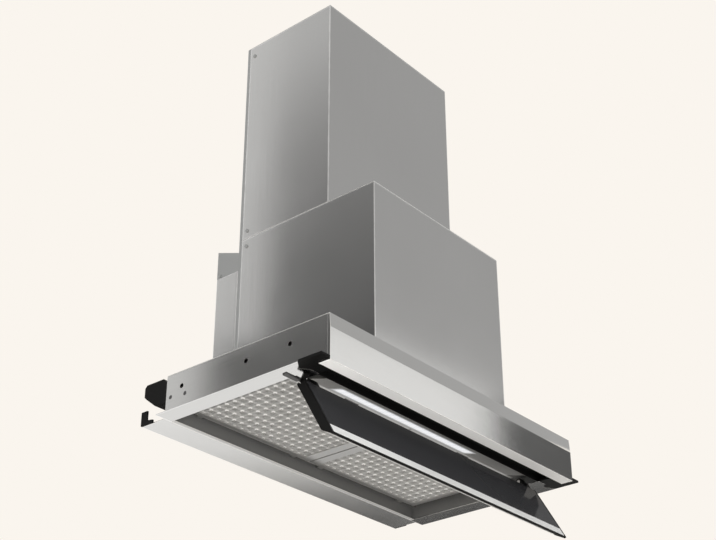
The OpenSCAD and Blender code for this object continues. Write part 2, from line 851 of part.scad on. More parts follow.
module filter_latch(side) {
    y0 = pocket_y0 + cover_gap;
    z1 = filter_z1 - latch_skin - cover_gap;
    color("dimgray") on_side(side) difference() {
        union() {
            block([latch_x - latch_w / 2, y0, latch_z0], [latch_x + latch_w / 2, y0 + latch_l, z1]);
            block([latch_x - bolt_w / 2, filter_y0 - bolt_out, bolt_z0],
                [latch_x + bolt_w / 2, pocket_y0 + cut, bolt_z1]);
        }
        for (i = [1 : groove_count])
            block([latch_x - latch_w / 2 + groove_inset, pocket_y0 + groove_pitch * i,
                    latch_z0 - cut],
                [latch_x + latch_w / 2 - groove_inset, pocket_y0 + groove_pitch * i + groove_w,
                    latch_z0 + groove_depth]);
    }
}

module filter_latch_left() { filter_latch(-1); }
module filter_latch_right() { filter_latch(1); }

// Casings

module casing_cover() {
    t = casing_t;
    z1 = casing_z1 - t;
    color("darkgray") difference() {
        block([-casing_x, casing_y0, body_h], [casing_x, fold_y, z1]);
        block([-casing_x + t, casing_y0 + t, body_h - cut], [casing_x - t, fold_y + cut, z1 + cut]);
    }
}

module casing_top() {
    z0 = casing_z1 - casing_t;
    color("darkgray") difference() {
        block([-casing_x, casing_y0, z0], [casing_x, fold_y, casing_z1]);
        rod_z(duct_r + duct_gap, 0, duct_y, z0 - cut, casing_z1 + cut);
        rod_z(gland_bore, gland_x, gland_y, z0 - cut, casing_z1 + cut);
    }
}

module casing_back() {
    t = casing_t;
    color("silver") difference() {
        block([-casing_x, fold_y, body_h], [casing_x, y_back, casing_z1]);
        block([-casing_x + t, fold_y - cut, body_h - cut], [casing_x - t, y_back - t, casing_z1 - t]);
    }
}

module upper_cover() {
    t = casing_t;
    color("darkgray") difference() {
        block([-casing_x, upper_y0, casing_z1], [casing_x, fold_y, upper_z1 - t]);
        block([-casing_x + t, upper_y0 + t, casing_z1 - cut], [casing_x - t, fold_y + cut, upper_z1]);
    }
}

module upper_back() {
    t = casing_t;
    color("silver") difference() {
        block([-casing_x, fold_y, casing_z1], [casing_x, y_back, upper_z1 - t]);
        block([-casing_x + t, fold_y - cut, casing_z1 - cut], [casing_x - t, y_back - t, upper_z1]);
    }
}

module upper_top() {
    color("gray") difference() {
        block([-casing_x, upper_y0, upper_z1 - casing_t], [casing_x, y_back, upper_z1]);
        rod_z(duct_r - duct_t, 0, duct_y, upper_z1 - casing_t - cut, upper_z1 + cut);
    }
}

module rear_box() {
    t = casing_t;
    z1 = rear_box_h;
    color("silver") difference() {
        block([-casing_x, y_back, rear_box_z], [casing_x, 0, z1]);
        block([-casing_x + t, y_back - cut, rear_box_z - cut], [casing_x - t, -t, z1 - t]);
        block([-casing_x + box_side, y_back - cut, z1 - t - cut],
            [casing_x - box_side, -box_edge, z1 + cut]);
    }
}

module wall_bracket() {
    t = casing_t;
    z0 = rear_box_h;
    z1 = rear_box_h + bracket_h;
    color("silver") difference() {
        union() {
            block([-casing_x, -t, z0], [casing_x, 0, z1]);
            for (side = [-1, 1])
                on_side(side) along_x(casing_x - t, casing_x, [[y_back, z0], [0, z0], [0, z1],
                    [y_back, z1 - bracket_slope]]);
            block([-casing_x, y_back, z0], [casing_x, 0, z0 + t]);
        }
        block([-casing_x + box_side, y_back - cut, z0 - cut],
            [casing_x - box_side, -box_edge, z0 + t + cut]);
        for (side = [-1, 1])
            translate([side * wall_screw_w / 2, cut, z0 + bracket_h / 2 + wall_screw_up])
                rotate([90, 0, 0]) cylinder(r = wall_hole_r, h = t + 2 * cut);
    }
}

// Behind the body

module filler_strip() {
    color("whitesmoke") union() {
        block([-half_w, y_back, -sheet_t], [half_w, 0, 0]);
        block([-half_w, -sheet_t, -sheet_t], [half_w, 0, strip_leg]);
    }
}

module filler_cap(side) {
    color("black") on_side(side) along_x(half_w, half_w + strip_cap_t,
        [[-strip_cap_d, -sheet_t], [0, -sheet_t], [0, strip_cap_h - sheet_t],
            [-strip_cap_d / 2, strip_cap_h - sheet_t], [-strip_cap_d / 2, strip_cap_h / 4],
            [-strip_cap_d, strip_cap_h / 6]]);
}

module filler_cap_left() { filler_cap(-1); }
module filler_cap_right() { filler_cap(1); }

module wall_spacer(side) {
    z1 = spacer_z + spacer_h;
    c = spacer_chamfer;
    x1 = half_w - cover_gap;
    color("black") on_side(side) difference() {
        union() {
            along_x(x1 - spacer_w, x1, [[y_back, spacer_z], [y_back / 2, spacer_z],
                [-c / 2, spacer_z + spacer_rise], [0, spacer_z + spacer_rise + c / 2],
                [0, z1 - c / 2], [-c / 2, z1], [y_back + c, z1], [y_back, z1 - c]]);
            tongue_shape(0);
        }
        for (p = tongue_holes)
            rod_x(tongue_shank_r + fit_gap, half_w - sheet_t - tongue_t - cut, half_w, p[0], p[1]);
    }
}

module wall_spacer_left() { wall_spacer(-1); }
module wall_spacer_right() { wall_spacer(1); }

module panel_screws() {
    color("dimgray") for (side = [-1, 1], p = tongue_holes) on_side(side) {
        rod_x(tongue_screw_r, half_w - sheet_t, half_w, p[0], p[1]);
        rod_x(tongue_shank_r, half_w - sheet_t - tongue_t, half_w - sheet_t + screw_bite,
            p[0], p[1]);
    }
}

module casing_screws() {
    x1 = casing_x + screw_head_t;
    y = fold_y - screw_fold;
    color("dimgray") for (side = [-1, 1]) on_side(side) {
        for (z = [body_h + screw_edge, casing_z1 - screw_edge, casing_z1 + screw_edge,
                upper_z1 - screw_low])
            rod_x(screw_head_r, casing_x, x1, y, z);
        rod_x(screw_head_r, casing_x, x1, -box_screw_y, rear_box_h + box_screw_up);
    }
}

// Blower

// Scroll radius at an angle in degrees, from the cut-off round to the outlet
function scroll_r(a) = scroll_r0 + (scroll_r1 - scroll_r0) * (a - cut_off) / (360 - cut_off);
function scroll_points(grow) = [for (a = [cut_off : 10 : 360])
    [wheel_y + (scroll_r(a) + grow) * cos(a), wheel_zc + (scroll_r(a) + grow) * sin(a)]];
function scroll_outline(grow, top) = concat(
    [[throat_y0 - grow, top], [throat_y0 - grow, wheel_zc + scroll_r0 + throat_rise]],
    scroll_points(grow), [[throat_y1 + grow, top]]);

module scroll_band() {
    top = throat_z - base_t;
    color("lightgray") difference() {
        union() {
            along_x(-scroll_x, scroll_x, scroll_outline(scroll_t, top));
            block([-base_r, duct_y - base_r, top], [base_r, duct_y + base_r, throat_z]);
        }
        along_x(-scroll_x - cut, scroll_x + cut, scroll_outline(0, top));
        block([-scroll_x + scroll_t, throat_y0, top - cut],
            [scroll_x - scroll_t, throat_y1, throat_z + cut]);
    }
}

module scroll_side(side) {
    top = throat_z - base_t;
    color("gainsboro") on_side(side) difference() {
        union() {
            along_x(scroll_x, scroll_x + scroll_t, scroll_outline(scroll_t, top));
            rod_x(inlet_r + inlet_lip, scroll_x, scroll_x + scroll_t + inlet_lip,
                wheel_y, wheel_zc);
        }
        rod_x(inlet_r, scroll_x - cut, scroll_x + scroll_t + inlet_lip + cut, wheel_y, wheel_zc);
    }
}

module scroll_side_left() { scroll_side(-1); }
module scroll_side_right() { scroll_side(1); }

module blower_wheel() {
    blade_in = wheel_r - blade_d;
    half = wheel_w / 2;
    color("darkslategray") difference() {
        union() {
            rod_x(wheel_r - disc_gap, -disc_t, 0, wheel_y, wheel_zc);
            rod_x(hub_r, -disc_t, hub_l - disc_t, wheel_y, wheel_zc);
            for (x = [-half, half - wheel_ring_t])
                difference() {
                    rod_x(wheel_r, x, x + wheel_ring_t, wheel_y, wheel_zc);
                    rod_x(blade_in, x - cut, x + wheel_ring_t + cut, wheel_y, wheel_zc);
                }
            for (i = [0 : blades - 1])
                translate([0, wheel_y, wheel_zc]) rotate([i * 360 / blades, 0, 0])
                    translate([0, blade_in + blade_inset, 0]) rotate([blade_angle, 0, 0])
                        block([-half + blade_end, 0, -blade_t / 2],
                            [half - blade_end, blade_d - blade_short, blade_t / 2]);
        }
        rod_x(shaft_r + fit_gap, -disc_t - cut, hub_l, wheel_y, wheel_zc);
    }
}

module motor_shaft() {
    color("silver") rod_x(shaft_r, motor_x1 - shaft_in, hub_l, wheel_y, wheel_zc);
}

module motor() {
    color("slategray") difference() {
        union() {
            rod_x(motor_r, motor_x0, motor_x1, wheel_y, wheel_zc);
            rod_x(bracket_ring_r - 1, ring_x0 - ring_t, ring_x0, wheel_y, wheel_zc);
            rod_x(motor_cap_r, motor_x0 - motor_cap_t, motor_x0, wheel_y, wheel_zc);
        }
        rod_x(shaft_r + run_gap, motor_x1 - shaft_bore, motor_x1 + cut, wheel_y, wheel_zc);
    }
}

module motor_bracket() {
    x0 = ring_x0;
    x1 = ring_x0 + ring_t;
    w = spoke_half;
    color("dimgray") difference() {
        union() {
            rod_x(bracket_ring_r, x0, x1, wheel_y, wheel_zc);
            for (a = spoke_angles)
                translate([0, wheel_y, wheel_zc]) rotate([a, 0, 0]) {
                    block([x0, 0, -w], [x1, inlet_r + spoke_out, w]);
                    block([x0, inlet_r + spoke_in, -w], [-scroll_x - scroll_t, inlet_r + spoke_out, w]);
                }
        }
        rod_x(motor_r + fit_gap, x0 - cut, x1 + cut, wheel_y, wheel_zc);
    }
}

// Duct

module inner_duct() {
    color("lightgray") difference() {
        union() {
            rod_z(duct_r, 0, duct_y, throat_z, upper_z1 - casing_t);
            rod_z(base_r, 0, duct_y, casing_z1, casing_z1 + base_t);
        }
        rod_z(duct_r - duct_t, 0, duct_y, throat_z - cut, upper_z1);
    }
}

module outlet_collar() {
    r_in = collar_r - duct_t;
    color("black") difference() {
        union() {
            rod_z(collar_r, 0, duct_y, upper_z1, upper_z1 + collar_h);
            rod_z(collar_r + collar_rim, 0, duct_y, upper_z1, upper_z1 + collar_rim_t);
        }
        rod_z(r_in, 0, duct_y, damper_z, upper_z1 + collar_h + cut);
        rod_z(r_in - damper_ledge, 0, duct_y, upper_z1 - cut, damper_z + cut);
        rod_y(damper_pin_r + fit_gap, duct_y - collar_r - cut, duct_y + collar_r + cut);
    }
}

// A cylinder on the damper's pin, along Y
module rod_y(r, y0, y1) {
    translate([0, y0, damper_pin_z]) rotate([-90, 0, 0]) cylinder(r = r, h = y1 - y0);
}

module damper_pin() {
    color("silver")
        rod_y(damper_pin_r, duct_y - collar_r + pin_short, duct_y + collar_r - pin_short);
}

// A half disc with knuckles round the pin; the two flaps' knuckles take turns along it
module damper_flap(side) {
    z0 = damper_z + damper_lift;
    z1 = z0 + damper_t;
    r = collar_r - duct_t - damper_edge;
    near = knuckle_r + damper_split;
    first = side > 0 ? -3 * knuckle_l : -2 * knuckle_l;
    color("dimgray") difference() {
        union() {
            intersection() {
                rod_z(r, 0, duct_y, z0, z1);
                block([side > 0 ? near : -r, duct_y - r, z0 - cut],
                    [side > 0 ? r : -near, duct_y + r, z1 + cut]);
            }
            for (i = [0 : 2]) {
                y0 = duct_y + first + 2 * i * knuckle_l + cover_gap;
                y1 = y0 + knuckle_l - 2 * cover_gap;
                rod_y(knuckle_r, y0, y1);
                block([side > 0 ? 0 : -knuckle_r - knuckle_tab, y0, z0],
                    [side > 0 ? knuckle_r + knuckle_tab : 0, y1, z1]);
            }
        }
        rod_y(damper_pin_r + run_gap, duct_y - collar_r, duct_y + collar_r);
    }
}

module damper_flap_left() { damper_flap(-1); }
module damper_flap_right() { damper_flap(1); }

// Electrics

module electronics_box() {
    x1 = casing_x - casing_t;
    color("whitesmoke") block([x1 - box_d, casing_y0 + box_in, body_h + box_low],
        [x1, casing_y0 + box_back, body_h + box_high]);
}

module capacitor() {
    x = casing_x - casing_t - capacitor_r - capacitor_side;
    y = y_back - casing_t - capacitor_r - capacitor_back;
    color("whitesmoke") rod_z(capacitor_r, x, y, body_h, body_h + capacitor_h);
}

module cable_gland() {
    z1 = casing_z1 + gland_nut_h;
    z2 = casing_z1 + gland_h;
    color("black") difference() {
        union() {
            rod_z(gland_nut_r, gland_x, gland_y, casing_z1, z1);
            rod_z(gland_r, gland_x, gland_y, z1, z2);
        }
        rod_z(gland_bore, gland_x, gland_y, casing_z1 - cut, z2 + cut);
    }
}

canopy_top();
side_panel_left();
side_panel_right();
rear_panel();
filter_pan();
fascia();
front_channel();
front_cap_left();
front_cap_right();
light_bar();
led_board();
led_diffuser();
hinge_bracket_left();
hinge_bracket_right();
hinge_pins();
friction_washers();
filter_rod();
casing_cover();
casing_top();
casing_back();
upper_cover();
upper_back();
upper_top();
rear_box();
wall_bracket();
filler_strip();
filler_cap_left();
filler_cap_right();
wall_spacer_left();
wall_spacer_right();
panel_screws();
casing_screws();
scroll_band();
scroll_side_left();
scroll_side_right();
motor();
motor_bracket();
inner_duct();
outlet_collar();
damper_pin();
electronics_box();
capacitor();
cable_gland();
flap_glass();
flap_tray();
flap_back();
flap_trim();
flap_end_left();
flap_end_right();
key_board();
filter_frame_left();
filter_frame_right();
filter_grid_left();
filter_grid_right();
filter_latch_left();
filter_latch_right();
blower_wheel();
motor_shaft();
damper_flap_left();
damper_flap_right();
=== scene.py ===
"""Dresses the built-in range hood: finishes, rounded folds, filter mesh, lit strip and studio."""
from math import cos, radians, sin

import bmesh
import bpy
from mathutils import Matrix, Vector


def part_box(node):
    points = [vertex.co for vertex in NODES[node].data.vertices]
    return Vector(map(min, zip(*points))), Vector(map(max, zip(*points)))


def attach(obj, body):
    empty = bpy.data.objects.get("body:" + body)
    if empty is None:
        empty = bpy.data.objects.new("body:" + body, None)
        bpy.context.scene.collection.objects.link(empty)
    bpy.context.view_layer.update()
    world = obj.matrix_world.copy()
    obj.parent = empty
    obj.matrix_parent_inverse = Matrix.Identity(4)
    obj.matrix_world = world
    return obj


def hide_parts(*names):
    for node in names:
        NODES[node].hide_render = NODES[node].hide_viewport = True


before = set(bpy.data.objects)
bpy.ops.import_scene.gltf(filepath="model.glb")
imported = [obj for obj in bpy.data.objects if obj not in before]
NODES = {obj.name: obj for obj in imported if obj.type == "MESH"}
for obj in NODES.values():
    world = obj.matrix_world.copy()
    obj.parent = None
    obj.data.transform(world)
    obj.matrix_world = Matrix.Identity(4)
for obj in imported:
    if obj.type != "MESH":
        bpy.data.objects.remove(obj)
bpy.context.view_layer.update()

# Camera
# A long lens from below and to the left of the hood, looking up at its underside, as a buyer
# would see it with the flap open.
CAMERA_PLACE = (-1.4882, -1.4148, -0.7767)
CAMERA_UP = 29.29
CAMERA_TURN = -49.84

camera_data = bpy.data.cameras.new("studio_camera")
camera_data.lens = 70.83
camera_data.sensor_width = 36.0
camera_data.clip_start = 0.05
camera = bpy.data.objects.new("studio_camera", camera_data)
camera.location = CAMERA_PLACE
camera.rotation_euler = (radians(90 + CAMERA_UP), 0, radians(CAMERA_TURN))
bpy.context.scene.collection.objects.link(camera)
bpy.context.scene.camera = camera
bpy.context.scene.view_settings.view_transform = "Standard"

# Studio
# A pale floor far below the hood, a cream backdrop that is the world itself, soft lamps, and
# grey cards that only the steel sees, as a photographer puts them round a bright metal object.
BACKDROP = (0.956, 0.913, 0.855, 1)
FLOOR_Z = -1.15
ROOM_LIGHT = 0.42
FLOOR_GLOW = 0.45


def link_object(name, mesh):
    obj = bpy.data.objects.new(name, mesh)
    bpy.context.scene.collection.objects.link(obj)
    return obj


def new_shader(name):
    """A material with an empty Principled surface: returns it with its nodes and links."""
    mat = bpy.data.materials.new(name)
    mat.use_nodes = True
    tree = mat.node_tree
    return mat, tree.nodes, tree.links, tree.nodes["Principled BSDF"]


def build_world():
    world = bpy.data.worlds.new("studio")
    bpy.context.scene.world = world
    world.use_nodes = True
    nodes, links = world.node_tree.nodes, world.node_tree.links
    nodes.clear()
    path = nodes.new("ShaderNodeLightPath")
    seen = nodes.new("ShaderNodeMath")
    seen.operation = "MAXIMUM"
    links.new(path.outputs["Is Camera Ray"], seen.inputs[0])
    links.new(path.outputs["Is Glossy Ray"], seen.inputs[1])
    through = nodes.new("ShaderNodeMath")
    through.operation = "MAXIMUM"
    links.new(seen.outputs[0], through.inputs[0])
    links.new(path.outputs["Is Transmission Ray"], through.inputs[1])
    soft = nodes.new("ShaderNodeBackground")
    soft.inputs["Color"].default_value = (1, 1, 1, 1)
    soft.inputs["Strength"].default_value = ROOM_LIGHT
    shown = nodes.new("ShaderNodeBackground")
    shown.inputs["Color"].default_value = BACKDROP
    shown.inputs["Strength"].default_value = 1.0
    mix = nodes.new("ShaderNodeMixShader")
    out = nodes.new("ShaderNodeOutputWorld")
    links.new(through.outputs[0], mix.inputs[0])
    links.new(soft.outputs[0], mix.inputs[1])
    links.new(shown.outputs[0], mix.inputs[2])
    links.new(mix.outputs[0], out.inputs["Surface"])


def build_floor():
    bm = bmesh.new()
    bmesh.ops.create_circle(bm, cap_ends=True, segments=96, radius=7.0)
    bmesh.ops.translate(bm, verts=bm.verts, vec=(0, 0, FLOOR_Z))
    mesh = bpy.data.meshes.new("floor")
    bm.to_mesh(mesh)
    bm.free()
    floor = link_object("floor", mesh)
    mat, nodes, links, surface = new_shader("floor_paint")
    surface.inputs["Roughness"].default_value = 0.9
    noise = nodes.new("ShaderNodeTexNoise")
    noise.inputs["Scale"].default_value = 1.5
    coords = nodes.new("ShaderNodeTexCoord")
    links.new(coords.outputs["Object"], noise.inputs["Vector"])
    tone = nodes.new("ShaderNodeMix")
    tone.data_type = "RGBA"
    tone.inputs[6].default_value = (0.90, 0.86, 0.80, 1)
    tone.inputs[7].default_value = (0.93, 0.89, 0.83, 1)
    links.new(noise.outputs["Fac"], tone.inputs[0])
    links.new(tone.outputs[2], surface.inputs["Base Color"])
    glow = nodes.new("ShaderNodeEmission")
    glow.inputs["Color"].default_value = BACKDROP
    path = nodes.new("ShaderNodeLightPath")
    share = nodes.new("ShaderNodeMath")
    share.operation = "MULTIPLY"
    share.inputs[1].default_value = FLOOR_GLOW
    seen = nodes.new("ShaderNodeMath")
    seen.operation = "MAXIMUM"
    links.new(path.outputs["Is Camera Ray"], seen.inputs[0])
    links.new(path.outputs["Is Glossy Ray"], seen.inputs[1])
    links.new(seen.outputs[0], share.inputs[0])
    lit = nodes.new("ShaderNodeMixShader")
    links.new(share.outputs[0], lit.inputs[0])
    links.new(surface.outputs[0], lit.inputs[1])
    links.new(glow.outputs[0], lit.inputs[2])
    # Seen from underneath, the floor is left out of the picture.
    geometry = nodes.new("ShaderNodeNewGeometry")
    below = nodes.new("ShaderNodeMath")
    below.operation = "MULTIPLY"
    links.new(geometry.outputs["Backfacing"], below.inputs[0])
    links.new(path.outputs["Is Camera Ray"], below.inputs[1])
    clear = nodes.new("ShaderNodeBsdfTransparent")
    pick = nodes.new("ShaderNodeMixShader")
    links.new(below.outputs[0], pick.inputs[0])
    links.new(lit.outputs[0], pick.inputs[1])
    links.new(clear.outputs[0], pick.inputs[2])
    links.new(pick.outputs[0], nodes["Material Output"].inputs["Surface"])
    mesh.materials.append(mat)


def soft_lamp(name, place, aim, size, watts):
    lamp = bpy.data.lights.new(name, "AREA")
    lamp.shape = "RECTANGLE"
    lamp.size, lamp.size_y = size
    lamp.energy = watts
    obj = bpy.data.objects.new(name, lamp)
    obj.location = place
    obj.rotation_euler = (Vector(aim) - Vector(place)).to_track_quat("-Z", "Y").to_euler()
    bpy.context.scene.collection.objects.link(obj)
    obj.visible_camera = False
    obj.visible_glossy = False
    return obj


HOOD_CENTRE = Vector((0, -0.2, 0.15))


def grey_card(name, level, corners, away=20.0):
    """A card that only reflections see. Its corners are directions from the hood in degrees,
    round from the front towards the right and up from the horizon. Its level is one tone, or a
    list of heights in degrees with the tone there."""
    bm = bmesh.new()
    places = []
    for turn, up in corners:
        flat = cos(radians(up))
        way = Vector((sin(radians(turn)) * flat, -cos(radians(turn)) * flat, sin(radians(up))))
        places.append(bm.verts.new(HOOD_CENTRE + way * away))
    bm.faces.new(places)
    mesh = bpy.data.meshes.new(name)
    bm.to_mesh(mesh)
    bm.free()
    card = link_object(name, mesh)
    mat = bpy.data.materials.new(name)
    mat.use_nodes = True
    nodes, links = mat.node_tree.nodes, mat.node_tree.links
    nodes.remove(nodes["Principled BSDF"])
    glow = nodes.new("ShaderNodeEmission")
    if isinstance(level, (int, float)):
        glow.inputs["Color"].default_value = (level, level * 0.99, level * 0.975, 1)
    else:
        split = nodes.new("ShaderNodeSeparateXYZ")
        links.new(nodes.new("ShaderNodeTexCoord").outputs["Object"], split.inputs[0])
        heights = [HOOD_CENTRE.z + away * sin(radians(up)) for up, _ in level]
        climb = nodes.new("ShaderNodeMapRange")
        climb.inputs["From Min"].default_value = heights[0]
        climb.inputs["From Max"].default_value = heights[-1]
        links.new(split.outputs[2], climb.inputs["Value"])
        ramp = nodes.new("ShaderNodeValToRGB")
        stops = ramp.color_ramp.elements
        while len(stops) < len(level):
            stops.new(0.5)
        for stop, height, (_, tone) in zip(stops, heights, level):
            stop.position = (height - heights[0]) / (heights[-1] - heights[0])
            stop.color = (tone, tone * 0.99, tone * 0.975, 1)
        links.new(climb.outputs[0], ramp.inputs[0])
        links.new(ramp.outputs[0], glow.inputs["Color"])
    links.new(glow.outputs[0], nodes["Material Output"].inputs["Surface"])
    mesh.materials.append(mat)
    card.visible_camera = False
    card.visible_diffuse = False
    card.visible_shadow = False
    card.visible_transmission = False


build_world()
build_floor()
soft_lamp("lamp_left", (-2.4, -1.2, 1.2), (0, -0.15, 0.3), (1.6, 1.6), 26)
soft_lamp("lamp_front", (0.6, -2.6, 0.6), (0, -0.15, 0.3), (1.8, 1.4), 22)
soft_lamp("lamp_under", (-0.6, -1.1, -1.0), (0, -0.2, 0.0), (1.4, 1.4), 10)
soft_lamp("lamp_low", (-0.62, -0.68, -0.24), (-0.2, -0.34, 0.0), (0.3, 0.3), 1.6)

# Above this line the casings' fronts and the fascia's band meet a mid grey. Below it the
# fascia's main face meets a pale card, and past DARK_TURN a dark one.
FRONT_LINE = [(10, 27.4), (47.6, 27.4), (56.5, 23.3), (102, 23.3)]
FRONT_TOP = 62
FRONT_GREY = 0.44
DARK_TURN = 55.5
DARK_TOP = 23.75
FRONT_CARDS = ("card_front", "card_front_mid", "card_front_right")
for name, start, end in zip(FRONT_CARDS, FRONT_LINE, FRONT_LINE[1:]):
    grey_card(name, FRONT_GREY, [start, end, (end[0], FRONT_TOP), (start[0], FRONT_TOP)])
DARK_CORNERS = [(DARK_TURN, 0), (80, 0), (80, 23.3), FRONT_LINE[2], (DARK_TURN, DARK_TOP)]
grey_card("card_right", 0.11, DARK_CORNERS)
PALE_CORNERS = [(10, 0), (DARK_TURN, 0), (DARK_TURN, DARK_TOP), FRONT_LINE[1], FRONT_LINE[0]]
grey_card("card_main", 0.875, PALE_CORNERS)

# Greys that the fronts and the right side meet when the hood is seen from there.
FACING_TONES = [(-12, 0.40), (5, 0.50), (25, 0.64), (60, 0.80)]
grey_card("card_facing", FACING_TONES, [(-60, -12), (9, -12), (9, FRONT_TOP), (-60, FRONT_TOP)])
SIDE_TONES = [(-20, 0.38), (0, 0.48), (22, 0.62)]
grey_card("card_side", SIDE_TONES, [(82, -20), (112, -20), (112, 22), (82, 22)])

# The left sides meet a card that is dark low down, and a pale one beyond this line. A lower
# dark card stands nearer and reaches further, for the body's side.
LEFT_LINE = [(-134.9, 0), (-134.8, 30), (-133.6, 50)]
LEFT_TONES = [(25, 0.13), (28, 0.17), (31, 0.23), (33, 0.30), (35, 0.39), (38, 0.58)]
grey_card("card_left", LEFT_TONES, [LEFT_LINE[0], (-105, 0), (-105, 50)] + LEFT_LINE[:0:-1])
LOW_CORNERS = [(-136.5, 0), (-105, 0), (-105, 25.8), (-136.4, 25.8)]
grey_card("card_left_low", 0.095, LOW_CORNERS, 17.0)
grey_card("card_back_left", 0.74, [(-175, 0)] + LEFT_LINE + [(-175, 50)])

# The undersides meet a pale card low down at the back, and a dark one above its edge.
UNDER_EDGE = [(100, -25.3), (124.4, -23.4), (148, -22.2)]
grey_card("card_low", 0.93, [(100, -50), (160, -50), (160, -20), (100, -24)], 2.4)
grey_card("card_low_dark", 0.065, UNDER_EDGE + [(148, -4), (100, -4)], 2.3)


# Body of the canopy
# Folded sheet steel: two sides with flanges, a top and a back, in a fine satin finish. The
# folds have a small radius that catches the light, so each sheet is a rounded copy of its solid.
BODY_COLOUR = (0.74, 0.74, 0.73)
FOLD = 0.0005


def node_group(name, inputs, outputs):
    group = bpy.data.node_groups.new(name, "ShaderNodeTree")
    for kind, label, value in inputs:
        socket = group.interface.new_socket(label, in_out="INPUT", socket_type=kind)
        socket.default_value = value
    for kind, label in outputs:
        group.interface.new_socket(label, in_out="OUTPUT", socket_type=kind)
    nodes = group.nodes
    return group, nodes, group.links, nodes.new("NodeGroupInput"), nodes.new("NodeGroupOutput")


def math_node(nodes, links, operation, a, b=None, clamp=False):
    """One Math node; a and b are sockets or plain numbers."""
    node = nodes.new("ShaderNodeMath")
    node.operation = operation
    node.use_clamp = clamp
    for i, value in enumerate((a, b)):
        if value is None:
            continue
        if isinstance(value, (int, float)):
            node.inputs[i].default_value = value
        else:
            links.new(value, node.inputs[i])
    return node.outputs[0]


def build_grain_group():
    """Fine drawn-out lines of a brush, and the slow drift of tone over a sheet."""
    group, nodes, links, given, result = node_group(
        "sheet_grain",
        [("NodeSocketVector", "Place", (0, 0, 0)), ("NodeSocketVector", "Stretch", (1, 1, 1))],
        [("NodeSocketFloat", "Lines"), ("NodeSocketFloat", "Drift")],
    )
    drawn = nodes.new("ShaderNodeVectorMath")
    drawn.operation = "MULTIPLY"
    links.new(given.outputs["Place"], drawn.inputs[0])
    links.new(given.outputs["Stretch"], drawn.inputs[1])
    lines = nodes.new("ShaderNodeTexNoise")
    lines.inputs["Scale"].default_value = 1.0
    lines.inputs["Detail"].default_value = 5.0
    lines.inputs["Roughness"].default_value = 0.65
    links.new(drawn.outputs[0], lines.inputs["Vector"])
    drift = nodes.new("ShaderNodeTexNoise")
    drift.inputs["Scale"].default_value = 5.0
    drift.inputs["Detail"].default_value = 3.0
    links.new(given.outputs["Place"], drift.inputs["Vector"])
    links.new(lines.outputs["Fac"], result.inputs["Lines"])
    links.new(drift.outputs["Fac"], result.inputs["Drift"])
    return group


def build_fold_highlight_group():
    """A mask along the twelve edges of a box, broken up a little, where a painted highlight goes on
    the folds.
    """
    group, nodes, links, given, result = node_group(
        "fold_highlight_mask",
        [
            ("NodeSocketVector", "Place", (0, 0, 0)),
            ("NodeSocketVector", "Low", (0, 0, 0)),
            ("NodeSocketVector", "High", (1, 1, 1)),
            ("NodeSocketFloat", "Width", 0.002),
        ],
        [("NodeSocketFloat", "Edge")],
    )
    nearest = []
    for corner in ("Low", "High"):
        away = nodes.new("ShaderNodeVectorMath")
        away.operation = "SUBTRACT"
        links.new(given.outputs["Place"], away.inputs[0])
        links.new(given.outputs[corner], away.inputs[1])
        size = nodes.new("ShaderNodeVectorMath")
        size.operation = "ABSOLUTE"
        links.new(away.outputs[0], size.inputs[0])
        nearest.append(size.outputs[0])
    closest = nodes.new("ShaderNodeVectorMath")
    closest.operation = "MINIMUM"
    links.new(nearest[0], closest.inputs[0])
    links.new(nearest[1], closest.inputs[1])
    split = nodes.new("ShaderNodeSeparateXYZ")
    links.new(closest.outputs[0], split.inputs[0])
    x, y, z = split.outputs
    low = math_node(nodes, links, "MINIMUM", x, y)
    high = math_node(nodes, links, "MAXIMUM", x, y)
    second = math_node(nodes, links, "MAXIMUM", low, math_node(nodes, links, "MINIMUM", high, z))
    noise = nodes.new("ShaderNodeTexNoise")
    noise.inputs["Scale"].default_value = 60.0
    noise.inputs["Detail"].default_value = 4.0
    links.new(given.outputs["Place"], noise.inputs["Vector"])
    ragged = math_node(nodes, links, "MULTIPLY", noise.outputs["Fac"], 1.6)
    reach = math_node(nodes, links, "MULTIPLY", given.outputs["Width"], ragged)
    ratio = math_node(nodes, links, "DIVIDE", second, reach)
    mask = math_node(nodes, links, "SUBTRACT", 1.0, ratio, clamp=True)
    links.new(mask, result.inputs["Edge"])
    return group


grain_group = build_grain_group()
fold_highlight_group = build_fold_highlight_group()


def use_group(nodes, links, group, place, **values):
    node = nodes.new("ShaderNodeGroup")
    node.node_tree = group
    links.new(place, node.inputs["Place"])
    for label, value in values.items():
        node.inputs[label].default_value = value
    return node


def blend_colour(nodes, links, mask, first, second):
    """Mixes two colours by a mask; each is a socket or a colour."""
    mix = nodes.new("ShaderNodeMix")
    mix.data_type = "RGBA"
    links.new(mask, mix.inputs[0])
    for socket, value in ((mix.inputs[6], first), (mix.inputs[7], second)):
        if isinstance(value, (tuple, list)):
            socket.default_value = (*value[:3], 1)
        else:
            links.new(value, socket)
    return mix.outputs[2]


def spread(nodes, links, value, low, high):
    """Maps 0.3 to 0.7, where most of a noise lies, onto low to high."""
    node = nodes.new("ShaderNodeMapRange")
    node.inputs["From Min"].default_value = 0.3
    node.inputs["From Max"].default_value = 0.7
    node.inputs["To Min"].default_value = low
    node.inputs["To Max"].default_value = high
    links.new(value, node.inputs["Value"])
    return node.outputs[0]


def tinted(colour, factor):
    return tuple(min(1.0, c * factor) for c in colour)


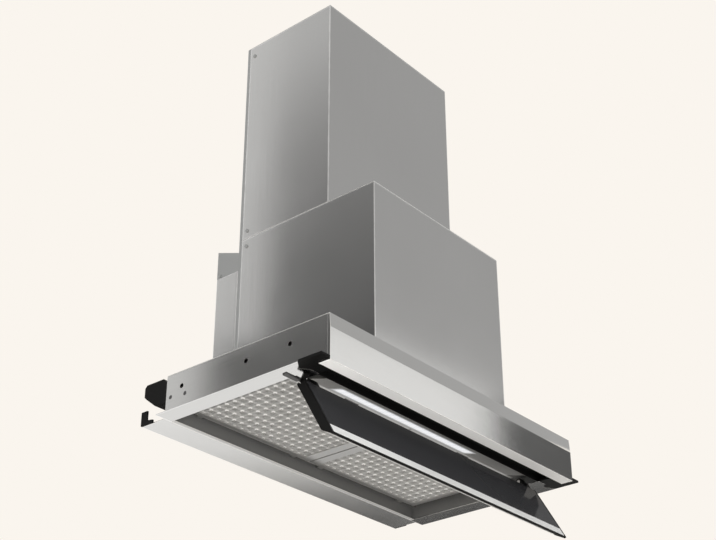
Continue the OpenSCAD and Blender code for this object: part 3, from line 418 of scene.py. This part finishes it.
def satin_sheet(name, colour, rough, stretch, box=None, edge=0.0022, highlight_lift=1.25, bump=0.05):
    """Satin metal sheet with brushed lines, a drift of tone and a painted highlight along the edges
    of its box.
    """
    mat, nodes, links, surface = new_shader(name)
    coords = nodes.new("ShaderNodeTexCoord").outputs["Object"]
    grain = use_group(nodes, links, grain_group, coords, Stretch=stretch)
    lines, drift = grain.outputs["Lines"], grain.outputs["Drift"]
    tone = blend_colour(nodes, links, drift, tinted(colour, 0.95), tinted(colour, 1.05))
    fine = spread(nodes, links, lines, 0.0, 1.0)
    tone = blend_colour(nodes, links, fine, tone, tinted(colour, 0.97))
    # The box's edges are painted lighter: a painted highlight on the folds.
    if box:
        edge_highlight = use_group(nodes, links, fold_highlight_group, coords, Low=box[0], High=box[1], Width=edge)
        tone = blend_colour(nodes, links, edge_highlight.outputs["Edge"], tone, tinted(colour, highlight_lift))
    links.new(tone, surface.inputs["Base Color"])
    surface.inputs["Metallic"].default_value = 1.0
    matt = math_node(
        nodes, links, "ADD",
        spread(nodes, links, lines, rough - 0.01, rough + 0.01),
        spread(nodes, links, drift, -0.02, 0.02),
    )
    links.new(matt, surface.inputs["Roughness"])
    height = nodes.new("ShaderNodeBump")
    height.inputs["Strength"].default_value = bump
    height.inputs["Distance"].default_value = 0.0003
    links.new(lines, height.inputs["Height"])
    links.new(height.outputs[0], surface.inputs["Normal"])
    return mat


def wear_finish(mat, *names):
    """Gives CAD nodes a finish through their material slots."""
    for name in names:
        for slot in NODES[name].material_slots:
            slot.material = mat


def solid_copy(node):
    """A node's solid with its loose triangles joined into whole faces."""
    bm = bmesh.new()
    bm.from_mesh(NODES[node].data)
    bmesh.ops.remove_doubles(bm, verts=bm.verts, dist=1e-6)
    bmesh.ops.dissolve_limit(bm, angle_limit=radians(0.5), verts=bm.verts, edges=bm.edges)
    return bm


def make_piece(name, bm, mat, body, replaced=()):
    mesh = bpy.data.meshes.new(name)
    bm.to_mesh(mesh)
    bm.free()
    for each in mat if isinstance(mat, (list, tuple)) else [mat]:
        mesh.materials.append(each)
    piece = link_object(name, mesh)
    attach(piece, body)
    if replaced:
        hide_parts(*replaced)
    return piece


def soften(piece, width, segments=3):
    """Rounds every sharp edge a little and keeps the flats flat."""
    bevel = piece.modifiers.new("rounded", "BEVEL")
    bevel.width = width
    bevel.segments = segments
    bevel.limit_method = "ANGLE"
    bevel.angle_limit = radians(40)
    return piece


def rounded_sheet(node, mat, body, width=FOLD):
    piece = make_piece(node + "_sheet", solid_copy(node), mat, body, (node,))
    return soften(piece, width)


ALONG_X = (9, 900, 900)
ALONG_Y = (900, 9, 900)
ALONG_Z = (900, 900, 9)

# Each body sheet gets a painted highlight along the edges of its box.
for side in ("left", "right"):
    steel = satin_sheet(
        f"body_side_{side}", BODY_COLOUR, 0.12, ALONG_Y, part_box(f"side_panel_{side}"), highlight_lift=1.4,
        bump=0.02,
    )
    rounded_sheet(f"side_panel_{side}", steel, "hood")
steel = satin_sheet("body_top", BODY_COLOUR, 0.3, ALONG_X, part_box("canopy_top"))
rounded_sheet("canopy_top", steel, "hood")
steel = satin_sheet("body_back", BODY_COLOUR, 0.3, ALONG_X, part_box("rear_panel"))
rounded_sheet("rear_panel", steel, "hood")


# Pan and rod
# A pressed pan of light grey painted sheet closes the body round the filters, and a plain
# bright rod runs through it, which the filters hook over.
def painted_sheet(name, colour, rough=0.42, metal=0.35):
    """Sheet with a thin grey coat that has a slight orange-peel surface."""
    mat, nodes, links, surface = new_shader(name)
    coords = nodes.new("ShaderNodeTexCoord").outputs["Object"]
    grain = use_group(nodes, links, grain_group, coords, Stretch=(420, 420, 420))
    drift = grain.outputs["Drift"]
    tone = blend_colour(nodes, links, drift, tinted(colour, 0.93), tinted(colour, 1.06))
    links.new(tone, surface.inputs["Base Color"])
    surface.inputs["Metallic"].default_value = metal
    links.new(spread(nodes, links, drift, rough - 0.05, rough + 0.05), surface.inputs["Roughness"])
    height = nodes.new("ShaderNodeBump")
    height.inputs["Strength"].default_value = 0.12
    height.inputs["Distance"].default_value = 0.0003
    links.new(grain.outputs["Lines"], height.inputs["Height"])
    links.new(height.outputs[0], surface.inputs["Normal"])
    return mat


def bright_bar(name, colour=(0.66, 0.66, 0.66), rough=0.2):
    """Ground and polished steel bar with fine turning marks."""
    return satin_sheet(name, colour, rough, (2500, 60, 60), bump=0.03)


pan_paint = painted_sheet("pan_paint", (0.19, 0.19, 0.187), 0.5)
wear_finish(pan_paint, "filter_pan")
bar_steel = bright_bar("bar_steel")
wear_finish(bar_steel, "filter_rod")


# Fascia
# One long sheet of stainless steel across the front, brushed along its length, with a narrow
# band leaning back at its top, a lip folded under it and short returns at its ends.
FASCIA_COLOUR = (0.80, 0.80, 0.79)
# The fascia gets a painted highlight along the edges of its box.
fascia_steel = satin_sheet(
    "fascia_steel", FASCIA_COLOUR, 0.08, ALONG_X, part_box("fascia"), edge=0.0016, highlight_lift=1.15
)
fascia = rounded_sheet("fascia", fascia_steel, "hood")
# The lip's underside is given a pale matt tone in place of its steel: a painted reflection of the
# bright sheen it shows.
lip_steel = painted_sheet("lip_steel", (0.93, 0.93, 0.92), 0.5, 0.05)
fascia.data.materials.append(lip_steel)
for face in fascia.data.polygons:
    if face.normal.z < -0.9:
        face.material_index = 1


# Channel and front caps
# Black moulded plastic: a channel behind the fascia's lip, and a mitred cap over the front
# end of each side flange. Both are fine matt mouldings that clip in.
def moulded(name, colour, rough=0.5, grain_size=900, coat=0.0, gloss=0.5):
    """Moulded plastic with a fine spark-eroded grain and a slow drift of tone."""
    mat, nodes, links, surface = new_shader(name)
    coords = nodes.new("ShaderNodeTexCoord").outputs["Object"]
    grain = use_group(nodes, links, grain_group, coords, Stretch=(grain_size,) * 3)
    drift = grain.outputs["Drift"]
    tone = blend_colour(nodes, links, drift, tinted(colour, 0.85), tinted(colour, 1.2))
    links.new(tone, surface.inputs["Base Color"])
    links.new(spread(nodes, links, drift, rough - 0.06, rough + 0.06), surface.inputs["Roughness"])
    surface.inputs["Coat Weight"].default_value = coat
    surface.inputs["Specular IOR Level"].default_value = gloss
    height = nodes.new("ShaderNodeBump")
    height.inputs["Strength"].default_value = 0.25
    height.inputs["Distance"].default_value = 0.0002
    links.new(grain.outputs["Lines"], height.inputs["Height"])
    links.new(height.outputs[0], surface.inputs["Normal"])
    return mat


black_plastic = moulded("black_plastic", (0.004, 0.004, 0.004), 0.55, gloss=0.15)
for part in ("front_channel", "front_cap_left", "front_cap_right"):
    rounded_sheet(part, black_plastic, "hood", 0.0004)


# Light bar
# An aluminium extrusion behind the slot, with an opal diffuser let into its sloping face and a
# strip of light chips above the diffuser. The strip is lit.
# The extrusion gets a painted highlight along the edges of its box.
light_alu = satin_sheet("light_alu", (0.5, 0.5, 0.49), 0.35, ALONG_X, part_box("light_bar"))
rounded_sheet("light_bar", light_alu, "hood", 0.0003)


# The axis, and how far inside the diffuser's edge its light starts to fade and has gone
EDGE_FADES = ((0, 0.008, 0.0), (1, 0.0075, 0.0015))


def lit_diffuser(name):
    mat, nodes, links, surface = new_shader(name)
    coords = nodes.new("ShaderNodeTexCoord").outputs["Object"]
    chips = nodes.new("ShaderNodeTexWave")
    chips.wave_type = "BANDS"
    chips.bands_direction = "X"
    chips.inputs["Scale"].default_value = 22.0
    links.new(coords, chips.inputs["Vector"])
    glow = blend_colour(nodes, links, chips.outputs["Fac"], (0.62, 0.64, 0.67), (0.72, 0.73, 0.75))
    low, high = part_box("led_diffuser")
    split = nodes.new("ShaderNodeSeparateXYZ")
    links.new(coords, split.inputs[0])
    for i, soft, rim in EDGE_FADES:
        aside = math_node(nodes, links, "SUBTRACT", split.outputs[i], (low[i] + high[i]) / 2)
        fade = nodes.new("ShaderNodeMapRange")
        fade.inputs["From Min"].default_value = (high[i] - low[i]) / 2 - soft
        fade.inputs["From Max"].default_value = (high[i] - low[i]) / 2 - rim
        links.new(math_node(nodes, links, "ABSOLUTE", aside), fade.inputs["Value"])
        glow = blend_colour(nodes, links, fade.outputs[0], glow, (0.17, 0.175, 0.18))
    links.new(glow, surface.inputs["Emission Color"])
    surface.inputs["Emission Strength"].default_value = 1.0
    surface.inputs["Base Color"].default_value = (0.3, 0.305, 0.31, 1)
    surface.inputs["Roughness"].default_value = 0.45
    return mat


wear_finish(lit_diffuser("lit_diffuser"), "led_diffuser")


def circuit_board(name):
    """Green solder mask with pale tracks."""
    mat, nodes, links, surface = new_shader(name)
    coords = nodes.new("ShaderNodeTexCoord").outputs["Object"]
    tracks = nodes.new("ShaderNodeTexBrick")
    tracks.inputs["Scale"].default_value = 90.0
    tracks.inputs["Color1"].default_value = (0.02, 0.16, 0.06, 1)
    tracks.inputs["Color2"].default_value = (0.03, 0.2, 0.08, 1)
    tracks.inputs["Mortar"].default_value = (0.5, 0.42, 0.2, 1)
    tracks.inputs["Mortar Size"].default_value = 0.01
    links.new(coords, tracks.inputs["Vector"])
    links.new(tracks.outputs["Color"], surface.inputs["Base Color"])
    links.new(
        spread(nodes, links, tracks.outputs["Fac"], 0.35, 0.25), surface.inputs["Roughness"]
    )
    return mat


board = circuit_board("circuit_board")
wear_finish(board, "led_board", "key_board")


# Flap hinges
# A dark painted steel bracket at each end of the flap, with a bright pin through it and a
# friction washer that keeps the flap where it is left.
bracket_paint = painted_sheet("bracket_paint", (0.09, 0.09, 0.09), 0.45, 0.3)
for side in ("left", "right"):
    rounded_sheet(f"hinge_bracket_{side}", bracket_paint, "hood", 0.0003)
wear_finish(bar_steel, "hinge_pins")
washer_rubber = moulded("washer_rubber", (0.02, 0.02, 0.02), 0.65, 1200)
wear_finish(washer_rubber, "friction_washers")


# Flap
# Black back-printed glass bonded to a plastic tray, closed by a thin sheet at the back, with
# black end plates and a satin trim strip along its free edge.
def black_glass(name):
    mat, nodes, links, surface = new_shader(name)
    coords = nodes.new("ShaderNodeTexCoord").outputs["Object"]
    grain = use_group(nodes, links, grain_group, coords, Stretch=(30, 30, 30))
    tone = blend_colour(
        nodes, links, grain.outputs["Drift"], (0.034, 0.034, 0.036), (0.038, 0.038, 0.040)
    )
    links.new(tone, surface.inputs["Base Color"])
    smear = spread(nodes, links, grain.outputs["Lines"], 0.08, 0.13)
    links.new(smear, surface.inputs["Roughness"])
    surface.inputs["Specular IOR Level"].default_value = 0.05
    return mat


rounded_sheet("flap_glass", black_glass("black_glass"), "flap", 0.0005)
rounded_sheet("flap_tray", black_plastic, "flap", 0.0003)
trim_alu = painted_sheet("trim_alu", (0.76, 0.76, 0.75), 0.4, 0.2)
rounded_sheet("flap_trim", trim_alu, "flap", 0.0003)
rounded_sheet("flap_back", trim_alu, "flap", 0.0002)
for side in ("left", "right"):
    rounded_sheet(f"flap_end_{side}", black_plastic, "flap", 0.0004)


# Filters
# Two grease filters side by side: a folded aluminium frame round a pressed lattice, with layers
# of fine knitted mesh showing in its cells, and a sliding catch in the front of each frame.
FILTER_COLOUR = (0.62, 0.62, 0.615)
CELLS = (15, 11)
BAR = 0.0026
CELL_DEPTH = 0.0024
KNOT = 0.0007
MESH_DEPTH = 0.003

frame_alu = satin_sheet("frame_alu", FILTER_COLOUR, 0.33, ALONG_X)


def knitted_mesh(name):
    """Layers of flattened aluminium mesh: small bright wires over a darker ground."""
    mat, nodes, links, surface = new_shader(name)
    coords = nodes.new("ShaderNodeTexCoord").outputs["Object"]
    cells = nodes.new("ShaderNodeTexVoronoi")
    cells.feature = "DISTANCE_TO_EDGE"
    cells.inputs["Scale"].default_value = 420.0
    links.new(coords, cells.inputs["Vector"])
    wire = nodes.new("ShaderNodeMapRange")
    wire.inputs["From Min"].default_value = 0.04
    wire.inputs["From Max"].default_value = 0.22
    wire.inputs["To Min"].default_value = 1.0
    wire.inputs["To Max"].default_value = 0.0
    links.new(cells.outputs["Distance"], wire.inputs["Value"])
    tone = blend_colour(nodes, links, wire.outputs[0], (0.28, 0.28, 0.275), (0.56, 0.56, 0.55))
    links.new(tone, surface.inputs["Base Color"])
    surface.inputs["Metallic"].default_value = 0.8
    surface.inputs["Roughness"].default_value = 0.42
    height = nodes.new("ShaderNodeBump")
    height.inputs["Strength"].default_value = 0.6
    height.inputs["Distance"].default_value = 0.0006
    links.new(wire.outputs[0], height.inputs["Height"])
    links.new(height.outputs[0], surface.inputs["Normal"])
    return mat


mesh_alu = knitted_mesh("mesh_alu")


def build_crossing_highlight_group():
    """A mask of small diamonds where the pressed bars cross, for a painted highlight."""
    group, nodes, links, given, result = node_group(
        "bar_crossing_highlights",
        [
            ("NodeSocketVector", "Place", (0, 0, 0)),
            ("NodeSocketVector", "Start", (0, 0, 0)),
            ("NodeSocketVector", "Pitch", (1, 1, 1)),
        ],
        [("NodeSocketFloat", "Knot")],
    )
    value = given.outputs["Place"]
    for operation, label in (("SUBTRACT", "Start"), ("DIVIDE", "Pitch")):
        step = nodes.new("ShaderNodeVectorMath")
        step.operation = operation
        links.new(value, step.inputs[0])
        links.new(given.outputs[label], step.inputs[1])
        value = step.outputs[0]
    split = nodes.new("ShaderNodeSeparateXYZ")
    links.new(value, split.inputs[0])
    away = []
    for i in (0, 1):
        shifted = math_node(nodes, links, "ADD", split.outputs[i], 0.5)
        part = math_node(nodes, links, "FRACT", shifted)
        off = math_node(nodes, links, "SUBTRACT", part, 0.5)
        away.append(math_node(nodes, links, "ABSOLUTE", off))
    both = math_node(nodes, links, "ADD", away[0], away[1])
    near = nodes.new("ShaderNodeMapRange")
    near.inputs["From Min"].default_value = 0.18
    near.inputs["From Max"].default_value = 0.30
    near.inputs["To Min"].default_value = 1.0
    near.inputs["To Max"].default_value = 0.0
    links.new(both, near.inputs["Value"])
    links.new(near.outputs[0], result.inputs["Knot"])
    return group


crossing_highlight_group = build_crossing_highlight_group()


def pressed_bars(name, side):
    """Satin pressed aluminium, with a painted highlight where the bars cross."""
    low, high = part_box(f"filter_grid_{side}")
    mat, nodes, links, surface = new_shader(name)
    coords = nodes.new("ShaderNodeTexCoord").outputs["Object"]
    grain = use_group(nodes, links, grain_group, coords, Stretch=(300, 300, 300))
    pitch = ((high.x - low.x) / CELLS[0], (high.y - low.y) / CELLS[1], 1)
    knots = use_group(nodes, links, crossing_highlight_group, coords, Start=low, Pitch=pitch)
    drift = grain.outputs["Drift"]
    tone = blend_colour(nodes, links, drift, tinted(FILTER_COLOUR, 0.8), tinted(FILTER_COLOUR, 0.9))
    # The crossings are painted white: a painted highlight on the raised knots.
    tone = blend_colour(nodes, links, knots.outputs["Knot"], tone, (1.0, 1.0, 1.0))
    links.new(tone, surface.inputs["Base Color"])
    surface.inputs["Metallic"].default_value = 0.55
    links.new(spread(nodes, links, grain.outputs["Lines"], 0.34, 0.46), surface.inputs["Roughness"])
    height = nodes.new("ShaderNodeBump")
    height.inputs["Strength"].default_value = 0.1
    height.inputs["Distance"].default_value = 0.0003
    links.new(grain.outputs["Lines"], height.inputs["Height"])
    links.new(height.outputs[0], surface.inputs["Normal"])
    return mat


def lattice(side):
    low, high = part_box(f"filter_grid_{side}")
    bm = bmesh.new()
    bmesh.ops.create_grid(bm, x_segments=CELLS[0], y_segments=CELLS[1], size=0.5)
    size, centre = high - low, (high + low) / 2
    bmesh.ops.scale(bm, vec=(size.x, size.y, 1), verts=bm.verts)
    bmesh.ops.translate(bm, vec=(centre.x, centre.y, low.z + KNOT), verts=bm.verts)
    knots = [v for v in bm.verts if not v.is_boundary]
    cells = list(bm.faces)
    bmesh.ops.inset_individual(bm, faces=cells, thickness=BAR, depth=0.0)
    bmesh.ops.translate(bm, vec=(0, 0, -KNOT), verts=knots)
    bmesh.ops.inset_individual(bm, faces=cells, thickness=BAR / 2, depth=0.0)
    bmesh.ops.translate(
        bm, vec=(0, 0, CELL_DEPTH), verts=list({v for f in cells for v in f.verts})
    )
    for face in cells:
        face.material_index = 1
    bmesh.ops.reverse_faces(bm, faces=[f for f in bm.faces if f.normal.z > 0])
    finishes = [pressed_bars(f"bars_{side}", side), mesh_alu]
    replaced = (f"filter_grid_{side}",)
    piece = make_piece(
        f"filter_lattice_{side}", bm, finishes, f"filter_{side}", replaced
    )
    wall = piece.modifiers.new("mesh_layers", "SOLIDIFY")
    wall.thickness = MESH_DEPTH
    wall.offset = -1.0
    return piece


for side in ("left", "right"):
    rounded_sheet(f"filter_frame_{side}", frame_alu, f"filter_{side}", 0.0004)
    lattice(side)
    rounded_sheet(f"filter_latch_{side}", bracket_paint, f"latch_{side}", 0.0002)


# Casings
# Two covers of satin steel sheet for the blower and the duct, each closed at the back by a
# folded zinc-plated plate and held by screws. A box of the same sheet and a folded bracket
# above it reach back to the wall.
CASING_COLOUR = (0.70, 0.70, 0.695)
# The casing sheets get a painted highlight along the edges of their boxes, strongest on the covers
# and the rear box.
for part in ("casing_cover", "upper_cover"):
    steel = satin_sheet(
        f"{part}_steel", CASING_COLOUR, 0.10, ALONG_Z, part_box(part), edge=0.003, highlight_lift=1.5,
        bump=0.02
    )
    rounded_sheet(part, steel, "hood", 0.0004)
steel = satin_sheet("casing_top_steel", CASING_COLOUR, 0.3, ALONG_X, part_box("casing_top"))
rounded_sheet("casing_top", steel, "hood", 0.0003)
zinc = painted_sheet("zinc_sheet", (0.5, 0.51, 0.51), 0.38, 0.8)
for part in ("casing_back", "upper_back", "upper_top", "wall_bracket"):
    rounded_sheet(part, zinc, "hood", 0.0003)
steel = satin_sheet("rear_box_steel", CASING_COLOUR, 0.12, ALONG_Z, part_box("rear_box"), highlight_lift=1.5)
rounded_sheet("rear_box", steel, "hood", 0.0004)
wear_finish(zinc, "casing_screws")
wear_finish(bracket_paint, "panel_screws")


# Behind the body
# A folded strip of the fascia's steel fills the gap to the wall, with a black cap at each end,
# and a black moulded block at each side keeps the body off the wall.
# The strip gets a painted highlight along the edges of its box.
strip_steel = satin_sheet("strip_steel", FASCIA_COLOUR, 0.16, ALONG_X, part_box("filler_strip"))
rounded_sheet("filler_strip", strip_steel, "hood", 0.0003)
for side in ("left", "right"):
    rounded_sheet(f"filler_cap_{side}", black_plastic, "hood", 0.0004)
    rounded_sheet(f"wall_spacer_{side}", black_plastic, "hood", 0.0005)


# Blower
# A sheet-steel scroll with a round inlet in each side, a moulded wheel on the motor's shaft,
# and the motor on a three-armed bracket over the left inlet.
wear_finish(zinc, "scroll_band", "scroll_side_left", "scroll_side_right")
wheel_plastic = moulded("wheel_plastic", (0.05, 0.05, 0.055), 0.42, 700)
wear_finish(wheel_plastic, "blower_wheel")
motor_paint = painted_sheet("motor_paint", (0.22, 0.23, 0.24), 0.4, 0.3)
wear_finish(motor_paint, "motor")
wear_finish(bracket_paint, "motor_bracket")
wear_finish(bar_steel, "motor_shaft")


# Duct and damper
# A grey moulded duct leads up to the black outlet collar, in which two half-round flaps on a
# steel pin shut by their own weight when the blower is off.
duct_plastic = moulded("duct_plastic", (0.52, 0.52, 0.51), 0.5, 600)
wear_finish(duct_plastic, "inner_duct", "damper_flap_left", "damper_flap_right")
wear_finish(black_plastic, "outlet_collar")
wear_finish(bar_steel, "damper_pin")


# Electrics
# An off-white moulded box with the control board, the motor's capacitor, and a black gland
# for the supply cord in the lower casing's top.
white_plastic = moulded("white_plastic", (0.72, 0.72, 0.69), 0.45, 800)
wear_finish(white_plastic, "electronics_box", "capacitor")
wear_finish(black_plastic, "cable_gland")
